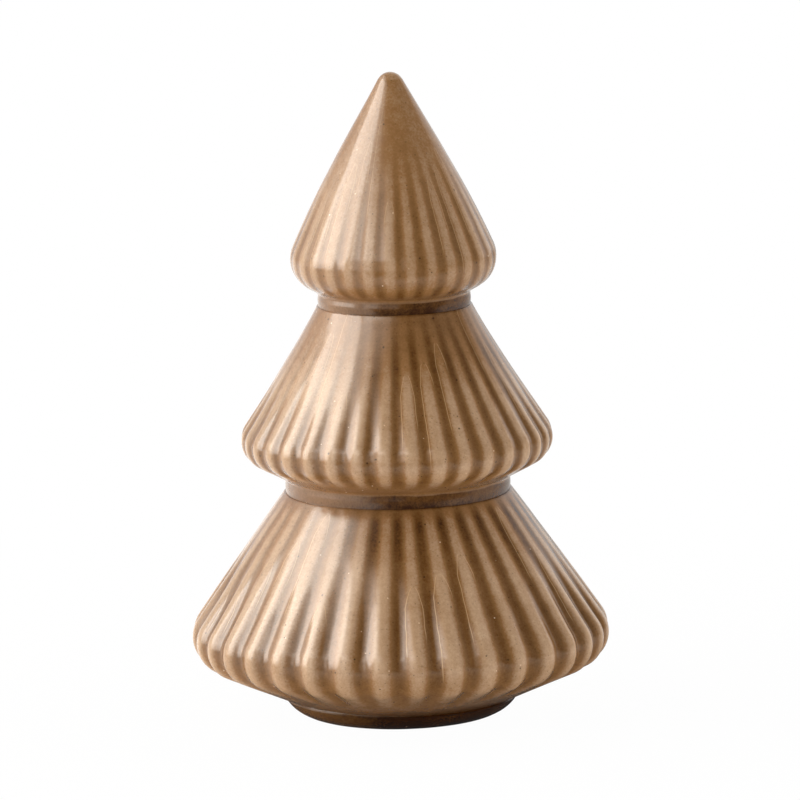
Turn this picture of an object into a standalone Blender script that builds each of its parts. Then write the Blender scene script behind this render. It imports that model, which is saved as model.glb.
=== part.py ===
"""Decorative table tree in glazed stoneware.

Three hollow fluted tiers stand on each other, each by a spigot that drops through a plain
collar into the mouth of the tier below. A dished foot closes the lowest tier, and three felt
pads sit in the recess under the foot. Metres, +Z up, the table at z = 0, the axis on Z.
"""

import math
from dataclasses import dataclass

import bmesh
import bpy

# Fits and walls
CLEARANCE = 0.0003  # gap between pieces that seat on, or fit into, one another
WALL = 0.0035  # cast wall, measured under the crest of a rib
LEAST_INNER_ROUND = 0.0003  # inside a rim that is rounded by little more than the wall
SPIGOT_WALL = 0.0032
SPIGOT_REACH = 0.0025  # how far a spigot drops into the mouth below it
LIP_DEPTH = 0.0032  # height of the straight mouth that takes a spigot

# Necks
LOWER_NECK_RADIUS = 0.0244
UPPER_NECK_RADIUS = 0.0165
LOWER_SPIGOT_RADIUS = 0.0190
UPPER_SPIGOT_RADIUS = 0.0115
LOWER_COLLAR_HEIGHT = 0.0026
UPPER_COLLAR_HEIGHT = 0.0024
COLLAR_ROUND = 0.0005  # rounded outer edges of both collars
SHOULDER = 0.0003  # how far a tier's top stands out beyond the collar on it

# Foot
FOOT_BASE_RADIUS = 0.0215
FOOT_TOP_RADIUS = 0.0254
FOOT_HEIGHT = 0.0034
FOOT_RING_WIDTH = 0.0035
FOOT_ROUND = 0.0006
FOOT_FLOOR = 0.0030
PLUG_RADIUS = 0.0212  # raised ring of the foot, inside the lowest tier
PLUG_WALL = 0.0030
PLUG_HEIGHT = 0.0032
VENT_RADIUS = 0.0050

# Felt pads
PAD_COUNT = 3
PAD_RADIUS = 0.0040
PAD_THICKNESS = 0.0017
PAD_PROUD = 0.0004  # how far the felt stands below the foot ring
PAD_CIRCLE_RADIUS = 0.0122
PAD_EDGE = 0.0003  # bevel round both faces of a pad
FIRST_PAD = 90.0  # degrees, at the back

# Crown
TIP_ROUND = 0.0030  # rounded top of the crown
CAVITY_TIP_RISE = 0.0015  # how far the cavity's last ring closes to a point

# Facets
ROUND_STEPS = 48
PAD_STEPS = 16
RIM_STEPS = 4
CAVITY_STEPS = 1
EDGE_STEPS = 2  # rounded edges of the foot and the collars
PLAIN_SIDE_STEPS = 3  # crown, from the end of the ribs to the tip
TIP_STEPS = 3
SHARP_ANGLE = 40.0  # degrees between faces, past which an edge isn't shaded smooth

# One rib from crest to crest: turn as a share of the pitch, cut as a share of the rib depth
RIB_SECTION = ((0.0, 0.0), (0.3, 0.35), (0.5, 1.0), (0.7, 0.35))

# Rings of an underside: share of the way from the seat to the rim, cut as a share of full depth
UNDERSIDE = ((0.0, 0.0), (0.25, 0.0), (0.625, 0.3))
PLAIN_RINGS = sum(relief == 0.0 for _, relief in UNDERSIDE)
RIM_START_RELIEF = 0.74  # where the rim starts to round off. The ribs are full one ring later

# Surfaces
FOOT_COLOR = (0.12, 0.06, 0.03)
COLLAR_COLOR = (0.14, 0.07, 0.035)
FELT_COLOR = (0.05, 0.045, 0.04)
GLAZE_ROUGHNESS = 0.2
GLAZE_COAT = 0.8
FELT_ROUGHNESS = 0.95


@dataclass
class Tier:
    """One fluted tier, from its seat up. The rim is the rounded corner of two straight lines."""

    name: str
    seat_radius: float  # outer edge of the seat, where the underside starts
    rim_radius: float  # the corner that the rim rounds off
    rim_rise: float  # from the seat up to that corner
    rim_round: float
    top_radius: float
    flank_height: float  # from the corner up to the top
    ribs: int
    rib_depth: float
    top_rib_depth: float  # what is left of the depth where the ribs stop fading
    first_rib: float  # degrees from the front to a crest
    belly: float  # how far the flank swells from a straight line, or hollows below zero
    belly_share: float  # where it does so most, as a share of the flank
    fade_start_share: float  # where the ribs start to fade, as a share of the flank
    fade_end_share: float
    flank_steps: int
    fade_steps: int
    color: tuple


BOTTOM = Tier(
    name="bottom_tier",
    seat_radius=FOOT_TOP_RADIUS,
    rim_radius=0.0490,
    rim_rise=0.0107,
    rim_round=0.0069,
    top_radius=LOWER_NECK_RADIUS + SHOULDER,
    flank_height=0.0343,
    ribs=36,
    rib_depth=0.0012,
    top_rib_depth=0.0003,
    first_rib=2.6,
    belly=0.0001,
    belly_share=0.5,
    fade_start_share=0.05,
    fade_end_share=1.0,
    flank_steps=1,
    fade_steps=3,
    color=(0.30, 0.17, 0.085),
)

MIDDLE = Tier(
    name="middle_tier",
    seat_radius=LOWER_NECK_RADIUS,
    rim_radius=0.0361,
    rim_rise=0.0061,
    rim_round=0.0055,
    top_radius=UPPER_NECK_RADIUS + SHOULDER,
    flank_height=0.0313,
    ribs=36,
    rib_depth=0.0009,
    top_rib_depth=0.0001,
    first_rib=4.2,
    belly=-0.0004,
    belly_share=0.6,
    fade_start_share=0.05,
    fade_end_share=0.95,
    flank_steps=1,
    fade_steps=3,
    color=(0.31, 0.18, 0.09),
)

CROWN = Tier(
    name="crown_tier",
    seat_radius=UPPER_NECK_RADIUS,
    rim_radius=0.0247,
    rim_rise=0.0046,
    rim_round=0.0070,
    top_radius=0.0,
    flank_height=0.0463,
    ribs=30,
    rib_depth=0.0005,
    top_rib_depth=0.0,
    first_rib=-3.4,
    belly=0.0005,
    belly_share=0.33,
    fade_start_share=0.06,
    fade_end_share=0.52,
    flank_steps=1,
    fade_steps=3,
    color=(0.32, 0.185, 0.095),
)

# Heights, stacked from the table
FOOT_BOTTOM = PAD_PROUD
RECESS_TOP = PAD_THICKNESS + CLEARANCE
FOOT_SHOULDER = FOOT_BOTTOM + FOOT_HEIGHT
BOTTOM_SEAT = FOOT_SHOULDER + CLEARANCE
BOTTOM_TOP = BOTTOM_SEAT + BOTTOM.rim_rise + BOTTOM.flank_height
LOWER_COLLAR_SEAT = BOTTOM_TOP + CLEARANCE
MIDDLE_SEAT = LOWER_COLLAR_SEAT + LOWER_COLLAR_HEIGHT + CLEARANCE
MIDDLE_TOP = MIDDLE_SEAT + MIDDLE.rim_rise + MIDDLE.flank_height
UPPER_COLLAR_SEAT = MIDDLE_TOP + CLEARANCE
CROWN_SEAT = UPPER_COLLAR_SEAT + UPPER_COLLAR_HEIGHT + CLEARANCE


def smooth(value, low, high):
    """0 below low, 1 above high, and a smooth rise between them."""
    share = min(max((value - low) / (high - low), 0.0), 1.0)
    return share * share * (3.0 - 2.0 * share)


def between(start, end, share):
    return tuple(a + (b - a) * share for a, b in zip(start, end))


def unit(start, end):
    length = math.dist(start, end)
    return tuple((b - a) / length for a, b in zip(start, end))


def rounded(before, corner, after, radius, steps):
    """Points of the arc that rounds the corner between two straight lines."""
    back = unit(corner, before)
    ahead = unit(corner, after)
    half = math.acos(back[0] * ahead[0] + back[1] * ahead[1]) / 2.0
    inward = unit((0.0, 0.0), (back[0] + ahead[0], back[1] + ahead[1]))
    centre = [c + d * radius / math.sin(half) for c, d in zip(corner, inward)]
    start = [c + d * radius / math.tan(half) for c, d in zip(corner, back)]
    end = [c + d * radius / math.tan(half) for c, d in zip(corner, ahead)]
    first = math.atan2(start[1] - centre[1], start[0] - centre[0])
    last = math.atan2(end[1] - centre[1], end[0] - centre[0])
    sweep = (last - first + math.pi) % math.tau - math.pi
    turns = [first + sweep * step / steps for step in range(steps + 1)]
    return [(centre[0] + radius * math.cos(a), centre[1] + radius * math.sin(a)) for a in turns]


def inset_corner(before, corner, after, depth):
    """The corner of the two lines moved in by depth."""
    back = unit(corner, before)
    ahead = unit(corner, after)
    half = math.acos(back[0] * ahead[0] + back[1] * ahead[1]) / 2.0
    inward = unit((0.0, 0.0), (back[0] + ahead[0], back[1] + ahead[1]))
    return tuple(c + d * depth / math.sin(half) for c, d in zip(corner, inward))


def height_at(start, end, radius):
    """The height at which the line through two (radius, height) points has this radius."""
    return start[1] + (end[1] - start[1]) * (radius - start[0]) / (end[0] - start[0])


def radius_at(start, end, height):
    return start[0] + (end[0] - start[0]) * (height - start[1]) / (end[1] - start[1])


def polar(radius, angle, height):
    return (radius * math.cos(angle), radius * math.sin(angle), height)


def round_ring(mesh, point, steps=ROUND_STEPS):
    """A ring of vertices round the axis, at a (radius, height) point."""
    radius, height = point
    turns = [math.tau * step / steps for step in range(steps)]
    return [mesh.verts.new(polar(radius, turn, height)) for turn in turns]


def fluted_ring(mesh, tier, point, normal, relief):
    """A ring whose vertices between the crests are cut in along the surface's normal."""
    ring = []
    front = math.radians(tier.first_rib - 90.0)
    for rib in range(tier.ribs):
        for turn, cut in RIB_SECTION:
            depth = tier.rib_depth * relief * cut
            angle = front + math.tau * (rib + turn) / tier.ribs
            radius = point[0] - normal[0] * depth
            ring.append(mesh.verts.new(polar(radius, angle, point[1] - normal[1] * depth)))
    return ring


def ring_edges(mesh, ring):
    ends = zip(ring, ring[1:] + ring[:1])
    return [mesh.edges.get(pair) or mesh.edges.new(pair) for pair in ends]


def skin(mesh, rings, closed):
    """Joins each ring to the next, and the last to the first when the section is closed."""
    following = rings[1:] + rings[:1] if closed else rings[1:]
    for lower, upper in zip(rings, following):
        if len(lower) == len(upper):
            for i, here in enumerate(lower):
                ahead = (i + 1) % len(lower)
                mesh.faces.new((here, lower[ahead], upper[ahead], upper[i]))
        else:
            bmesh.ops.bridge_loops(mesh, edges=ring_edges(mesh, lower) + ring_edges(mesh, upper))


def close_at_pole(mesh, ring, height):
    pole = mesh.verts.new((0.0, 0.0, height))
    for here, ahead in zip(ring, ring[1:] + ring[:1]):
        mesh.faces.new((here, ahead, pole))


def normals(points):
    """Outward normals of a profile that runs up the outer side."""
    found = []
    for i in range(len(points)):
        along = unit(points[max(i - 1, 0)], points[min(i + 1, len(points) - 1)])
        found.append((along[1], -along[0]))
    return found


def material(name, color, roughness, coat):
    made = bpy.data.materials.new(name)
    made.use_nodes = True
    shader = made.node_tree.nodes["Principled BSDF"]
    shader.inputs["Base Color"].default_value = (*color, 1.0)
    shader.inputs["Roughness"].default_value = roughness
    shader.inputs["Metallic"].default_value = 0.0
    shader.inputs["Coat Weight"].default_value = coat
    made.diffuse_color = (*color, 1.0)
    return made


def finish(mesh, name, surface, parent):
    """Turns a bmesh into a named object with its faces out and its round sides smooth."""
    bmesh.ops.recalc_face_normals(mesh, faces=mesh.faces)
    data = bpy.data.meshes.new(name)
    mesh.to_mesh(data)
    mesh.free()
    data.materials.append(surface)
    data.shade_smooth()
    data.set_sharp_from_angle(angle=math.radians(SHARP_ANGLE))
    made = bpy.data.objects.new(name, data)
    bpy.context.scene.collection.objects.link(made)
    made.parent = parent
    return made


def turned(name, section, surface, parent, steps=ROUND_STEPS):
    """A solid of revolution from a closed section of (radius, height) points."""
    mesh = bmesh.new()
    skin(mesh, [round_ring(mesh, point, steps) for point in section], closed=True)
    return finish(mesh, name, surface, parent)


def flank_point(tier, start, top, share):
    """A point of the flank, which swells or hollows a little from a straight line."""
    along = unit(start, top)
    peak = tier.belly_share
    bow = share / peak * ((1.0 - share) / (1.0 - peak)) ** ((1.0 - peak) / peak)
    straight = between(start, top, share)
    return (
        straight[0] + along[1] * tier.belly * bow,
        straight[1] - along[0] * tier.belly * bow,
    )


def outer_profile(tier, seat):
    """(point, relief) pairs from the seat up over the rim to the top of the flank."""
    base = (tier.seat_radius, seat)
    corner = (tier.rim_radius, seat + tier.rim_rise)
    top = (tier.top_radius, corner[1] + tier.flank_height)
    arc = rounded(base, corner, top, tier.rim_round, RIM_STEPS)
    pairs = [(between(base, arc[0], share), relief) for share, relief in UNDERSIDE]
    pairs.append((arc[0], RIM_START_RELIEF))
    pairs += [(point, 1.0) for point in arc[1:]]
    fade_start, fade_end = tier.fade_start_share, tier.fade_end_share
    shares = [fade_start * (step + 1) / tier.flank_steps for step in range(tier.flank_steps)]
    fade = fade_end - fade_start
    shares += [fade_start + fade * (step + 1) / tier.fade_steps for step in range(tier.fade_steps)]
    if tier.top_radius > 0.0 and fade_end < 1.0:
        shares.append(1.0)
    loss = 1.0 - tier.top_rib_depth / tier.rib_depth
    for share in shares:
        relief = 1.0 - loss * smooth(share, fade_start, fade_end)
        pairs.append((flank_point(tier, arc[-1], top, share), relief))
    return pairs, arc, top


def cavity_profile(tier, seat, bore):
    """The inner side from the bore below to the top of the flank: (points, corner, top)."""
    base = (tier.seat_radius, seat)
    corner = (tier.rim_radius, seat + tier.rim_rise)
    top = (tier.top_radius, corner[1] + tier.flank_height)
    inner = inset_corner(base, corner, top, WALL)
    lift = (inner[0] - corner[0], inner[1] - corner[1])
    floor = (base[0] + lift[0], base[1] + lift[1])
    roof = (top[0] + lift[0], top[1] + lift[1])
    start = (bore, height_at(floor, inner, bore))
    inner_round = max(tier.rim_round - WALL, LEAST_INNER_ROUND)
    arc = rounded(floor, inner, roof, inner_round, CAVITY_STEPS)
    return [start] + arc, inner, roof


def fluted_rings(mesh, tier, pairs):
    """The seat and the plain part of the underside stay round. The rings above carry the ribs."""
    points = [point for point, _ in pairs]
    rings = [round_ring(mesh, point) for point in points[:PLAIN_RINGS]]
    for (point, relief), normal in list(zip(pairs, normals(points)))[PLAIN_RINGS:]:
        rings.append(fluted_ring(mesh, tier, point, normal, relief))
    return rings


def open_tier(tier, seat, lower, mouth_radius, surface, parent):
    """A tier with a mouth in its top. lower holds the section's points below its seat."""
    pairs, _, top = outer_profile(tier, seat)
    bore = lower[0][0]
    cavity, inner, roof = cavity_profile(tier, seat, bore)
    lip = top[1] - LIP_DEPTH
    mesh = bmesh.new()
    rings = [round_ring(mesh, point) for point in reversed(cavity)]
    rings += [round_ring(mesh, point) for point in lower]
    rings += fluted_rings(mesh, tier, pairs)
    rings.append(round_ring(mesh, (mouth_radius, top[1])))
    rings.append(round_ring(mesh, (mouth_radius, lip)))
    rings.append(round_ring(mesh, (radius_at(inner, roof, lip), lip)))
    skin(mesh, rings, closed=True)
    return finish(mesh, tier.name, surface, parent)


def spigot_section(radius, seat, socket_top):
    """Bore and outer side of a spigot, from the inside of the tier down and up to its seat."""
    end = socket_top - SPIGOT_REACH
    return [(radius - SPIGOT_WALL, end), (radius, end), (radius, seat)]


def make_crown(parent, surface):
    """The closed top tier, ribbed low down and smooth towards its round tip."""
    tier = CROWN
    pairs, arc, apex = outer_profile(tier, CROWN_SEAT)
    lower = spigot_section(UPPER_SPIGOT_RADIUS, CROWN_SEAT, MIDDLE_TOP)
    cavity, inner, roof = cavity_profile(tier, CROWN_SEAT, lower[0][0])
    side = unit(arc[-1], apex)
    half = math.atan2(-side[0], side[1])
    tip_centre = apex[1] - TIP_ROUND / math.sin(half)
    tip_start = (TIP_ROUND * math.cos(half), tip_centre + TIP_ROUND * math.sin(half))
    reach = math.dist(arc[-1], tip_start) / math.dist(arc[-1], apex)
    stride = (reach - tier.fade_end_share) / PLAIN_SIDE_STEPS
    shares = [tier.fade_end_share + stride * step for step in range(1, PLAIN_SIDE_STEPS)]
    plain_side = [flank_point(tier, arc[-1], apex, share) for share in shares]
    turns = [half + (math.pi / 2.0 - half) * step / TIP_STEPS for step in range(TIP_STEPS)]
    tip = [(TIP_ROUND * math.cos(a), tip_centre + TIP_ROUND * math.sin(a)) for a in turns]

    mesh = bmesh.new()
    roof_ring = (TIP_ROUND, height_at(inner, roof, TIP_ROUND))
    inside = [roof_ring] + list(reversed(cavity))
    rings = [round_ring(mesh, point) for point in inside + lower]
    rings += fluted_rings(mesh, tier, pairs)
    rings += [round_ring(mesh, point) for point in plain_side + tip]
    skin(mesh, rings, closed=False)
    close_at_pole(mesh, rings[0], roof_ring[1] + CAVITY_TIP_RISE)
    close_at_pole(mesh, rings[-1], tip_centre + TIP_ROUND)
    return finish(mesh, tier.name, surface, parent)


def make_collar(name, radius, spigot_radius, seat, height, surface, parent):
    """A plain ring round a spigot, with its outer edges rounded."""
    bore = spigot_radius + CLEARANCE
    low, high = seat, seat + height
    section = [(bore, low)]
    section += rounded((bore, low), (radius, low), (radius, high), COLLAR_ROUND, EDGE_STEPS)
    section += rounded((radius, low), (radius, high), (bore, high), COLLAR_ROUND, EDGE_STEPS)
    section += [(bore, high)]
    return turned(name, section, surface, parent)


def make_foot(parent, surface):
    """A dish: foot ring and recess below, vented floor, and a raised ring inside the tier."""
    recess = FOOT_BASE_RADIUS - FOOT_RING_WIDTH
    base = (FOOT_BASE_RADIUS, FOOT_BOTTOM)
    shoulder = (FOOT_TOP_RADIUS, FOOT_SHOULDER)
    floor_top = RECESS_TOP + FOOT_FLOOR
    plug_top = FOOT_SHOULDER + PLUG_HEIGHT
    section = [(VENT_RADIUS, RECESS_TOP), (recess, RECESS_TOP), (recess, FOOT_BOTTOM)]
    section += rounded((recess, FOOT_BOTTOM), base, shoulder, FOOT_ROUND, EDGE_STEPS)
    section += [shoulder, (PLUG_RADIUS, FOOT_SHOULDER), (PLUG_RADIUS, plug_top)]
    section += [(PLUG_RADIUS - PLUG_WALL, plug_top), (PLUG_RADIUS - PLUG_WALL, floor_top)]
    section += [(VENT_RADIUS, floor_top)]
    return turned("foot", section, surface, parent)


def make_pad(number, parent, surface):
    """A felt disc with bevelled edges, on its circle under the foot."""
    mesh = bmesh.new()
    face_radius = PAD_RADIUS - PAD_EDGE
    outline = [(face_radius, 0.0), (PAD_RADIUS, PAD_EDGE)]
    outline += [(PAD_RADIUS, PAD_THICKNESS - PAD_EDGE), (face_radius, PAD_THICKNESS)]
    rings = [round_ring(mesh, point, PAD_STEPS) for point in outline]
    skin(mesh, rings, closed=False)
    mesh.faces.new(rings[0])
    mesh.faces.new(rings[-1])
    made = finish(mesh, f"felt_pad_{number}", surface, parent)
    turn = math.radians(FIRST_PAD) + math.tau * (number - 1) / PAD_COUNT
    made.location = polar(PAD_CIRCLE_RADIUS, turn, 0.0)
    return made


def main():
    for stale in list(bpy.data.objects):
        bpy.data.objects.remove(stale)
    tree = bpy.data.objects.new("tree", None)
    bpy.context.scene.collection.objects.link(tree)

    def glaze(name, color):
        return material(name + "_glaze", color, GLAZE_ROUGHNESS, GLAZE_COAT)

    for number in range(1, PAD_COUNT + 1):
        make_pad(number, tree, material(f"felt_{number}", FELT_COLOR, FELT_ROUGHNESS, 0.0))
    make_foot(tree, glaze("foot", FOOT_COLOR))
    plug_bore = PLUG_RADIUS + CLEARANCE
    open_tier(
        BOTTOM,
        BOTTOM_SEAT,
        [(plug_bore, BOTTOM_SEAT)],
        LOWER_SPIGOT_RADIUS + CLEARANCE,
        glaze(BOTTOM.name, BOTTOM.color),
        tree,
    )
    make_collar(
        "lower_collar",
        LOWER_NECK_RADIUS,
        LOWER_SPIGOT_RADIUS,
        LOWER_COLLAR_SEAT,
        LOWER_COLLAR_HEIGHT,
        glaze("lower_collar", COLLAR_COLOR),
        tree,
    )
    open_tier(
        MIDDLE,
        MIDDLE_SEAT,
        spigot_section(LOWER_SPIGOT_RADIUS, MIDDLE_SEAT, BOTTOM_TOP),
        UPPER_SPIGOT_RADIUS + CLEARANCE,
        glaze(MIDDLE.name, MIDDLE.color),
        tree,
    )
    make_collar(
        "upper_collar",
        UPPER_NECK_RADIUS,
        UPPER_SPIGOT_RADIUS,
        UPPER_COLLAR_SEAT,
        UPPER_COLLAR_HEIGHT,
        glaze("upper_collar", COLLAR_COLOR),
        tree,
    )
    make_crown(tree, glaze(CROWN.name, CROWN.color))


main()
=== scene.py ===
"""Looks of a decorative table tree in glazed stoneware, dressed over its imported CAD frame.

Metres, +Z up, the table at z = 0, the tree's axis on Z, the photographed side towards -Y.
Left and right are the photograph's.
"""

import math
import random
from dataclasses import dataclass

import bpy
from mathutils import Matrix, Vector


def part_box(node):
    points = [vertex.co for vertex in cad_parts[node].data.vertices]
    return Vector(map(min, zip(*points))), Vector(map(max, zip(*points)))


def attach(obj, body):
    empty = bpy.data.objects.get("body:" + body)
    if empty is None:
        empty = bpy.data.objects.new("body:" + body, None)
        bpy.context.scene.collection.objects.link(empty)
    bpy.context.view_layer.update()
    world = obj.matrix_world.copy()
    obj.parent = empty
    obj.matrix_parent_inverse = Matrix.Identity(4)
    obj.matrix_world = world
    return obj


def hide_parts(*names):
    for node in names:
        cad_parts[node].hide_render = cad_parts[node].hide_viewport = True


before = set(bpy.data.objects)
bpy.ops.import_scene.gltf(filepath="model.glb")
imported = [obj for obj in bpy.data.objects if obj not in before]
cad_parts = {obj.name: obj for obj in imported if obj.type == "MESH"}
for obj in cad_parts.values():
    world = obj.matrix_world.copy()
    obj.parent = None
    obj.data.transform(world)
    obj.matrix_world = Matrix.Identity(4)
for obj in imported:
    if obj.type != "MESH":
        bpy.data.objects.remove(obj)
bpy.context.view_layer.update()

MM = 0.001

# Heights and radii that the frame's boxes give
FOOT_LOW, FOOT_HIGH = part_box("foot")
BOTTOM_LOW, BOTTOM_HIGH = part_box("bottom_tier")
LOWER_LOW, LOWER_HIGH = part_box("lower_collar")
MIDDLE_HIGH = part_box("middle_tier")[1]
UPPER_LOW, UPPER_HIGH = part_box("upper_collar")
LOWER_NECK = LOWER_HIGH.x
UPPER_NECK = UPPER_HIGH.x
FOOT_SHOULDER = FOOT_HIGH.x

# Fits and walls
JOINT = 0.3 * MM  # clearance between the CAD pieces, which slip and glaze fill
LAP = 0.2 * MM  # how far a neck piece reaches into its neighbours
WALL = 3.5 * MM
SPIGOT_WALL = 3.2 * MM
BOTTOM_MOUTH = 19.3 * MM
MIDDLE_MOUTH = 11.8 * MM
MOUTH_DEPTH = 3.2 * MM
SHOULDER = 0.3 * MM  # how far a bell's top stands out beyond the collar on it
SHOULDER_DROP = 0.5 * MM  # how far down the flank its rounded top edge starts
SHOULDER_ROUND = 0.3 * MM
FILLET = 0.9 * MM  # radius to which glaze fills the corner between a neck piece and an underside

# Crown
CROWN_HEIGHT = 50.9 * MM  # from its seat to the point where its flanks would meet
TIP_ROUND = 3.0 * MM

# Foot
FOOT_BASE = 21.5 * MM
FOOT_RING_WIDTH = 3.5 * MM
FOOT_EDGE = 0.7 * MM
FOOT_BELLY = 0.3 * MM
RING_ROUND = 0.4 * MM
RECESS_ROUND = 0.6 * MM
RECESS_TOP = 2.0 * MM
FLOOR_TOP = 5.0 * MM
SHOULDER_HEIGHT = 3.8 * MM
PLUG_RADIUS = 21.2 * MM
PLUG_WALL = 3.0 * MM
VENT_RADIUS = 5.0 * MM
BARE_TILT = -0.7  # what faces down more than this is wiped clean of glaze

# Felt pads
PAD_EDGE = 0.35 * MM
PAD_COLUMNS = 64
PAD_EDGE_STEPS = 4

# Mesh
RIB_COLUMNS = 16
PLAIN_COLUMNS = 192
RIM_STEPS = 16
EDGE_STEPS = 5
UNDER_STEPS = 16
FLANK_STEPS = 46
TIP_STEPS = 10
FOOT_WALL_STEPS = 8
MERGE = 1e-7
SHARP_ANGLE = math.radians(40)
PLACES_PER_METRE = 1e5  # how finely a vertex is told from those of the next ring

# Shape of a flute, in the glaze and in the clay. Above 1 the ribs are wider than the flutes
GLAZE_POWER = 1.2
CLAY_POWER = 1.4
FLUTE_SHIFT = 0.035  # by which a flute may stand off its place, as a share of the pitch
FLUTE_WIDTHS = (0.90, 1.0)  # narrowest and widest, as shares of the pitch
FLUTE_DEPTHS = (0.86, 1.06)  # shallowest and deepest, as shares of the bell's depth

# Where flutes and stripes of glaze grow, as shares of the underside from its seat
UNDER_RELIEF = (0.42, 1.22)
UNDER_STRIPE = (0.28, 1.10)
SEAT_POOL_END = 0.4
CLAY_START = (-19.0 * MM, -7.0 * MM)  # from the widest ring to where the clay's flutes run out underneath

# The same as shares of the rim's arc, from the underside up
RIM_RELIEF = (-0.9, 0.35)
RIM_STRIPE = (0.0, 0.8)
RIM_POOL_END = 0.6

# How much thicker than plain the glaze lies, as a share of the thickest
FILLET_POOL = 0.16
# The bell's top edge under the collar is pooled dark, which also paints the shade under the collar
EDGE_POOL_AND_SHADE = 0.26
MOUTH_POOL = 0.30
TIP_POOL = -0.10
# The foot's pools also paint the shade under the bottom bell; its wall is a little lighter towards the top
FOOT_POOL_AND_SHADE = 0.54
FOOT_WALL_LOSS = 0.06
FOOT_WALL_FADE = (0.3, 0.9)
FOOT_CORNER_POOL_AND_SHADE = 0.60
# A collar's pools also paint the shade that falls on it under the tier above
COLLAR_BOTTOM_POOL_AND_SHADE = 0.44
COLLAR_TOP_POOL_AND_SHADE = 0.36
# Share of a collar's height, how far it swells there, and its pool, which also paints the shade under the
# tier above
COLLAR_LEVELS = (
    (0.15, 0.0, 0.46),
    (0.45, 0.08 * MM, 0.41),
    (0.65, 0.06 * MM, 0.37),
    (0.85, 0.0, 0.38),
)

# Painted light: on the left, the key light's side, the glaze is made thinner so that it shows lighter
LIT_SIDE_TURN = (0.10, 0.62)  # how far to the left its flutes start to get this painted lightening, and get it fully
RIM_LIT_SHARE = 0.2  # share of that painted lightening that is there at the rim
POOL_LIT_TURN = (0.1, 0.8)
POOL_LIT_LIGHTENING = 0.6  # share by which pools show lighter on the left, as painted light

# Unevenness of pressed clay: its height and the size of its lumps
BELL_WOBBLES = ((0.22 * MM, 16 * MM), (0.05 * MM, 6 * MM))
NECK_WOBBLE = (0.12 * MM, 16 * MM)


@dataclass
class Ring:
    """One ring of a turned piece."""

    radius: float
    height: float
    relief: float = 0.0  # share of the full depth of the flutes
    stripe: float = 0.0  # share by which the glaze leaves the crests and fills the flutes
    glaze: float = 0.0  # above 0 the glaze pools here, in places also painting shade; below 0 it is thin


@dataclass
class Bell:
    """One fluted tier. Its rim is the rounded corner of two straight lines."""

    name: str
    node: str
    seat: float
    seat_radius: float
    below_seat: tuple  # a point lower down on the side of the piece that the bell sits on
    rim_radius: float
    rim_rise: float
    rim_round: float
    top: float
    top_radius: float
    ribs: int
    depth: float
    first_rib: float  # degrees from the front to a crest
    belly: float
    belly_share: float
    top_relief: float  # share of the depth that is left at the top of the flank
    fade: tuple  # where the flutes' relief starts and stops dying out, as shares of the flank
    stripe: float  # how strongly the glaze is striped, from 0 to 1
    under_stripe: float  # share of that which is left underneath
    stripe_fade: tuple  # where the stripes die out, which is higher up than the relief
    clay_depth: float  # of the clay's own flutes under the glaze, as a share of the pitch
    pooled_seat: float  # how much thicker the glaze is in the corner at the seat
    under_pool_and_shade: float  # how much thicker it is on the underside; on the crown this also paints the shade underneath
    top_pool_and_shade: float  # how much thicker it is at the top of the flank, which also paints the shade under the piece above
    pooled_reach: tuple  # where it starts to thicken and where it is full
    lit_side_lightening: float  # painted light: share by which the flutes on the left hold less glaze than the others, high up, so they show lighter
    lit_side_reach: tuple  # how far above the rim that starts and is reached
    seed: int


BOTTOM = Bell(
    name="bottom_bell",
    node="bottom_tier",
    seat=BOTTOM_LOW.z,
    seat_radius=FOOT_SHOULDER,
    below_seat=(FOOT_BASE, FOOT_LOW.z),
    rim_radius=49.0 * MM,
    rim_rise=10.7 * MM,
    rim_round=6.9 * MM,
    top=BOTTOM_HIGH.z,
    top_radius=LOWER_NECK + SHOULDER,
    ribs=36,
    depth=1.15 * MM,
    first_rib=4.3,
    belly=0.1 * MM,
    belly_share=0.5,
    top_relief=0.02,
    fade=(-0.10, 0.70),
    stripe=1.0,
    under_stripe=0.6,
    stripe_fade=(0.88, 1.04),
    clay_depth=0.13,
    pooled_seat=0.30,
    under_pool_and_shade=-0.04,
    top_pool_and_shade=0.16,
    pooled_reach=(0.40, 1.0),
    lit_side_lightening=0.60,
    lit_side_reach=(8.0 * MM, 34.0 * MM),
    seed=3,
)

MIDDLE = Bell(
    name="middle_bell",
    node="middle_tier",
    seat=LOWER_HIGH.z + JOINT,
    seat_radius=LOWER_NECK,
    below_seat=(LOWER_NECK, LOWER_LOW.z),
    rim_radius=36.1 * MM,
    rim_rise=6.1 * MM,
    rim_round=5.5 * MM,
    top=MIDDLE_HIGH.z,
    top_radius=UPPER_NECK + SHOULDER,
    ribs=36,
    depth=0.55 * MM,
    first_rib=5.4,
    belly=-0.4 * MM,
    belly_share=0.6,
    top_relief=0.03,
    fade=(-0.10, 0.55),
    stripe=0.9,
    under_stripe=1.0,
    stripe_fade=(0.40, 1.15),
    clay_depth=0.12,
    pooled_seat=0.06,
    under_pool_and_shade=0.02,
    top_pool_and_shade=0.16,
    pooled_reach=(0.30, 0.75),
    lit_side_lightening=0.85,
    lit_side_reach=(3.0 * MM, 17.0 * MM),
    seed=8,
)

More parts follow.
